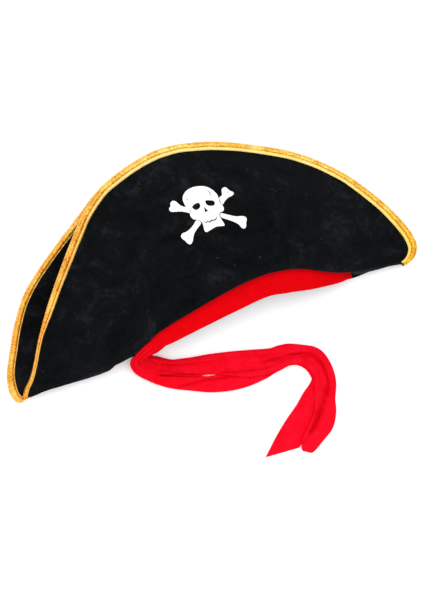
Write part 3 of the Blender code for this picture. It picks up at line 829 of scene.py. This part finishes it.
def transfer(name, node, outline, holes):
    """A filled outline with holes, cut into small cells and pressed on to the velour."""
    curve = bpy.data.curves.new(name, "CURVE")
    curve.dimensions, curve.fill_mode, curve.extrude = "2D", "BOTH", PRINT_HALF * MM
    thing = made_of_curve(name, curve, [
        np.pad(rounded_loop(loop) * PRINT_SCALE + PRINT_CENTRE - ORIGIN[:2], ((0, 0), (0, 1)))
        for loop in (outline, *holes)], True, white_print)
    work = bmesh.new()
    work.from_mesh(thing.data)
    bmesh.ops.remove_doubles(work, verts=work.verts, dist=1e-6)
    xs, ys = [v.co.x for v in work.verts], [v.co.y for v in work.verts]
    for low, high, direction in ((min(xs), max(xs), Vector((1, 0, 0))),
                                 (min(ys), max(ys), Vector((0, 1, 0)))):
        for cut in np.arange(low + .0015, high, PRINT_CELL):
            bmesh.ops.bisect_plane(work, geom=work.verts[:] + work.edges[:] + work.faces[:],
                                   plane_co=direction * cut, plane_no=direction)
    for v in work.verts:
        place, normal, _, _ = velour_tree.ray_cast(Vector((v.co.x, v.co.y, 1)), Vector((0, 0, -1)))
        normal = normal if normal.z > 0 else -normal
        v.co = place + normal * (v.co.z + PRINT_LIFT)
    work.to_mesh(thing.data)
    work.free()
    close_up(fix_to_brim(thing, node), 40)


transfer("skull_transfer", "skull_print", SKULL, SKULL_HOLES)
for where, outline, mark in BONES:
    transfer("bone_transfer_" + where, "crossbone_" + where, outline, (mark,))


# --- Sash band ------------------------------------------------------------------------
# A strip of red brushed knit, about 45 mm wide, sewn round the lower edge of the crown's
# front. It lies in soft lengthwise folds and turns under at the head opening.
BAND_SPAN, BAND_TOP, SASH_GAP = (.142, .998), .3, .9     # shares of the crown's front; gap in mm


def make_knit():
    """Brushed knit: small loops, painted sheen in a lighter pinker red on the tails and gather, and painted
    shade in folds.
    """
    material, tree = start_material("red_knit", .9, Specular_IOR_Level=.02)
    place, flat = spot(tree), add(tree, "SeparateXYZ", Vector=spot(tree, "UV")).outputs
    loops = sums(tree, "MULTIPLY", stripes(tree, flat["X"], 260, .6), stripes(tree, flat["Y"], 310, .6))
    dye = noise(tree, place, 95, Detail=4, Roughness=.6)
    colour = ramp(tree, dye, (.32, (.70, .0008, .0030)), (.66, (.77, .0012, .0045)))
    # Painted sheen: a lighter, pinker red for the tails and the gather.
    sheen_red = ramp(tree, dye, (.32, (.81, .0022, .0110)), (.66, (.90, .0052, .0250)))
    # Painted shade: a darker red where a fold or pleat lies deep.
    for name, other in (("painted_sheen", sheen_red), ("painted_crease_shade", (.60, .0007, .0028, 1))):
        share = add(tree, "Attribute", attribute_name=name).outputs["Fac"]
        colour = tint(tree, share, colour, other)
    fuzz = noise(tree, place, 900, Detail=3)
    return finish(material, colour, relief(
        tree, fuzz, .35, .0005, Normal=relief(tree, loops, .35, .0004)))


knit = make_knit()


def band_folds(c, r):
    """Soft lengthwise folds, deeper towards the gathered left end."""
    near_left = 1 - smooth_step((c - .2) / .35)
    folds = (.35 + 1.1 * near_left) * np.sin(
        2 * np.pi * (r / BAND_TOP * 1.6 + .9 * c) + 2.2 * np.sin(5 * c))
    return folds * np.sin(np.pi * np.clip(r / BAND_TOP, 0, 1)) + .5 * np.sin(31 * c) * np.sin(17 * c + 2) * .4


band = fix(rolled_cloth(
    "red_sash_band", crown_front_surface, half + SASH_GAP, 300, 46, 165, band_folds, (.29, .045),
    span=BAND_SPAN, top=BAND_TOP, material=knit), "sash_band")


# --- Sash gather and tails ------------------------------------------------------------
# At the left end of the band the knit is pinched together, turns back on itself and
# leaves as two loose tails. They lie folded on the table, the upper over the lower, with
# creases that run from the pinch and round the bend.
KNIT_CLOTH, FLOOR_GAP, LAP_GAP = .7, .45, .55
UPPER_OUTER = (
    (-94, 4.5), (-82, 1.5), (-72, -3.5), (-66, -7.5), (-59, -11.5), (-51, -13.5), (-38, -16.5), (-21, -19.5),
    (2, -24.5), (38, -34.5), (50, -35.5), (62, -37.5), (77, -44.5), (87, -50.5), (94, -60.5), (97, -76.5),
    (95, -91.5), (88, -106.5), (84, -120.5), (75, -134), (57, -144.5), (47.5, -151.5))
UPPER_INNER = (
    (-100, -1.5), (-90, -12.5), (-74, -22.5), (-57, -29.5), (-40, -35.5), (-30, -38), (-17, -42.6),
    (-4, -48.8), (12, -55.5), (29, -58.5), (43, -58.5), (55, -57.8), (64.5, -60.5), (71, -67.5), (74, -77),
    (72.5, -86), (68, -97.5), (63, -109.5), (53, -121.5), (42.5, -131.5), (35, -143.5))
LOWER_OUTER = (
    (-99, -0.5), (-87, -14), (-74, -20.5), (-57, -27), (-41, -35.2), (-29, -40.3), (-17, -42), (-6, -45.5),
    (9, -49.5), (26, -52.5), (43, -53.5), (57, -52), (69, -57), (76.5, -67), (78.5, -80), (74, -93.5),
    (68, -105.5), (60, -117.5), (51, -127.5), (35, -140.5))
LOWER_INNER = (
    (-102, -3.5), (-99, -10.5), (-95, -16.5), (-82, -29.5), (-68, -39.5), (-49, -48.5), (-31, -56.5),
    (-12, -61.5), (9, -63.5), (27, -62.5), (37, -60.5), (46, -59.5), (55, -58.5), (64, -61.5), (70, -68),
    (72.5, -75.5), (71.5, -82.5), (60.5, -89), (48, -99), (31, -110.5), (15, -123), (-1.5, -137.5))
FOLD_LINES = (      # points, width and depth in mm, and how far its left or outer lip stands up
    (((-97, 0.5), (-94, -7.5), (-87, -14.5), (-74, -22.5), (-57, -28.5), (-38, -35.5)), 1.3, 2.2, .8),
    (((-84, 0.5), (-79, -5.5), (-71, -12.5), (-53, -19.5), (-34, -24.5), (-14, -29.5), (2, -34.5)),
     1.2, 1.9, .7),
    (((-66, -38.5), (-47, -41.5), (-33, -42.5), (-18, -46.5), (-7, -48.5)), 1.5, 1.7, .5),
    (((20, -43.5), (47, -47.5), (63, -49.5), (75, -54.5), (83, -60.5), (88, -70.5), (88, -83.5), (86, -93.5),
      (77, -105.5), (64, -120.5), (53, -129.5), (41, -137.5)), 1.5, 2.8, .9),
    (((84, -87.5), (79, -99.5), (70, -111.5), (58, -123.5), (47, -133.5)), 3.2, 1.5, 0),
    (((66, -48.5), (82, -55.5), (87, -63.5), (88, -75.5)), 1.1, 1.6, .5),
    (((-20, -25.5), (14, -33.5), (40, -41.5), (58, -44.5)), 1.6, .8, .3))


def fold_pattern(x, y):
    """Height added by the fold lines, and painted shade from how deep in a fold each point lies, 0 to 1."""
    height, painted_crease_shade = 0 * x, 0 * x
    for points, width, depth, lip in FOLD_LINES:
        share = np.linspace(0, 1, 90)
        line = smooth_line(points)(share)
        along = np.gradient(line, axis=0)
        away = np.stack((x, y), 1)[:, None] - line[None]
        nearest = (away ** 2).sum(2).argmin(1)
        gap = away[np.arange(len(x)), nearest]
        step = along[nearest] / np.linalg.norm(along[nearest], axis=1)[:, None]
        across_it = step[:, 0] * gap[:, 1] - step[:, 1] * gap[:, 0]
        far = np.hypot(*gap.T)
        fade = smooth_step(share[nearest] / .12) * smooth_step((1 - share[nearest]) / .12)
        sharp = np.exp(-(far / width) ** 2) * fade
        raised = np.exp(-((across_it - 2.2 * width) / (1.6 * width)) ** 2)
        height = height - depth * sharp + lip * fade * raised * (far < 8 * width)
        # Painted shade, strongest in the deepest folds.
        painted_crease_shade = np.maximum(painted_crease_shade, sharp * min(1, depth / 2.2))
    return height, painted_crease_shade


def solid_tree(*pieces):
    """One search tree for several pieces, in millimetres from the head opening's chord."""
    points, faces = [], []
    for piece in pieces:
        faces += [[i + len(points) for i in f.vertices] for f in piece.data.polygons]
        points += [v.co / MM + Vector(ORIGIN) for v in piece.data.vertices]
    return BVHTree.FromPolygons(points, faces)


def drop(tree, points, direction, reach=30):
    """Where points land when pressed on to the pieces against a direction; NaN if they miss."""
    direction = Vector(direction).normalized()
    hits = [tree.ray_cast(Vector(p) + direction * reach, -direction)[0] for p in points]
    return np.array([tuple(h) if h else (np.nan,) * 3 for h in hits])


def pinched_round(v, power):
    """Once round a flattened strip: the height, and the place across it from -1 to 1."""
    angle = np.radians(268 - 356 * v)
    return np.sin(angle), np.sign(np.cos(angle)) * np.abs(np.cos(angle)) ** power


def tail(name, node, inner_points, outer_points, thick, seed, under=None, round_end=0):
    """A strip folded double: flat below, rounded edges, creased along its upper side."""
    inner, outer = smooth_line(inner_points), smooth_line(outer_points)
    wave, crumple = ripple(seed, 6, 12, 45), ripple(seed + 9, 8, 14, 60)
    turns = np.arange(8) * math.pi / 4
    around = [(0, 0)] + [(k * math.cos(t), k * math.sin(t)) for t in turns for k in (1.5, 3)]

    def place(u, v):
        a, b = inner(u), outer(u)
        middle, wide = (a + b) / 2, (b - a) / 2
        wide = wide * (1 + .02 * wave(u))[:, None]
        sin, side = pinched_round(v, .55)
        end = np.clip((1 - u) / .035, 0, 1)
        end = np.sqrt(1 - (1 - end) ** 2)
        height = np.interp(u, *zip(*thick)) * (.3 + .7 * end) * (1 + .08 * crumple(u))
        x, y = (middle + wide * (side * (1 - round_end * (1 - end)))[:, None]).T
        top = np.clip(sin, 0, 1) ** .5
        lines, painted_crease_shade = fold_pattern(x, y)
        rest = 0 * x
        if under is not None:
            below = [np.nan_to_num(drop(under, np.stack((x + dx, y + dy, 0 * x), 1), (0, 0, 1))[:, 2])
                     for dx, dy in around]
            rest = np.maximum(np.where(below[0] > 0, below[0] + LAP_GAP, 0), np.mean(below, 0))
        body = height * (.5 + .5 * np.sign(sin) * np.abs(sin) ** .8)
        z = FLOOR_GAP + rest + body + np.maximum(lines * end, -.7 * height) * top
        # Painted sheen grows along the tail, and painted shade follows its fold lines.
        return np.stack((x, y, z), 1), dict(painted_sheen=.75 + .25 * smooth_step(u / .3), painted_crease_shade=painted_crease_shade * top * end)

    return fix(skin(shaped_grid(name, 300, 70, place, (.36, .044)), KNIT_CLOTH, knit),
               node, "sash_tails")


lower_tail = tail(
    "red_tail_lower", "sash_tail_lower", LOWER_INNER, LOWER_OUTER,
    ((0, 3.6), (.2, 4.4), (.45, 4), (.6, 2.2), (.72, 1.6), (1, 1.8)), 41)
upper_tail = tail(
    "red_tail_upper", "sash_tail_upper", UPPER_INNER, UPPER_OUTER,
    ((0, 4), (.15, 4.8), (.4, 4.2), (.6, 4.2), (.9, 4.6), (1, 3.4)), 21, solid_tree(lower_tail), .45)

GATHER_UPWARDS = (
    (-.2, -.3, 1), (-.5, -.35, .8), (-.75, -.45, .5), (-.4, -.6, .7), (-.1, -.2, 1))
GATHER_INSIDE = (
    (-56, 10, 33), (-66, 5, 29), (-75, 1.8, 24), (-82, 1.5, 18), (-84.5, 1.8, 12), (-84, .4, 8),
    (-79, -3, 6), (-70, -7.5, 5))
GATHER_OUTSIDE = (
    (-63, 18, 38), (-74, 14.5, 36), (-89, 10.5, 30), (-98, 5.6, 20), (-102.8, 1.2, 12),
    (-102.2, -6, 6), (-98.4, -14, 4), (-90, -23, 4), (-82, -30.3, 4))


def gathered(u, v):
    """The pinched knit: flat on the band at one end and on the tails at the other, pleated
    and free between them."""
    inside, outside = smooth_line(GATHER_INSIDE)(u), smooth_line(GATHER_OUTSIDE)(u)
    sin, side = pinched_round(v, .6)
    side = (1 + side) / 2
    top = np.clip(sin, 0, 1) ** .5
    p = inside * (1 - side)[:, None] + outside * side[:, None]
    over = smooth_line(GATHER_UPWARDS)(u)
    over /= np.linalg.norm(over, axis=1)[:, None]
    on_band, on_tails = 1 - smooth_step((u - .12) / .22), smooth_step((u - .62) / .22)
    sewn, laid = drop(band_tree, p, GATHER_UPWARDS[0]), drop(tail_tree, p, (0, 0, 1))
    for weight, landed in ((on_band, sewn), (on_tails, laid)):
        there = np.where(np.isnan(landed), p, landed)
        p = p * (1 - weight)[:, None] + there * weight[:, None]
    free = (1 - on_band) * (1 - on_tails)
    thick = .15 + 2.6 * free
    pleats = np.cos(2 * np.pi * (side * 3 + .06 * np.sin(4 * u))) * free
    p += over * (.1 + thick * np.sign(sin) * np.abs(sin) ** .7 + 1.2 * pleats * top)[:, None]
    p[:, 2] = np.maximum(p[:, 2], 2 * FLOOR_GAP)
    # Painted sheen grows towards the tails, and painted shade lies in the pleats' hollows.
    return p, dict(painted_sheen=.75 * smooth_step(u / .7), painted_crease_shade=np.clip(-pleats, 0, 1) ** 2 * np.clip(sin, 0, 1))


band_tree, tail_tree = solid_tree(band, crown_front), solid_tree(upper_tail, lower_tail)
gather = skin(shaped_grid("red_sash_gather", 90, 80, gathered, (.05, .045)), KNIT_CLOTH, knit)
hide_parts("sash_gather")
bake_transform(gather)


# --- Bar tack ---------------------------------------------------------------------------
# A short row of dense zigzag stitches in red thread that holds the gathered knit.
TACK_POINTS, TACK_SHARE, TACK_WIDTH = 25, .176, .02
step = np.arange(TACK_POINTS)
tack_path = lifted(crown_front_surface, TACK_SHARE + TACK_WIDTH * (step % 2),
                   .02 + .05 * step / (TACK_POINTS - 1), half + 2.6)
red_thread = make_thread("red_thread", .5, 2600, (.3, (.22, .002, .006)), (.7, (.55, .006, .02)))
fix(round_cord("sash_bar_tack_stitches", tack_path, .3, 2, red_thread), "sash_bar_tack")
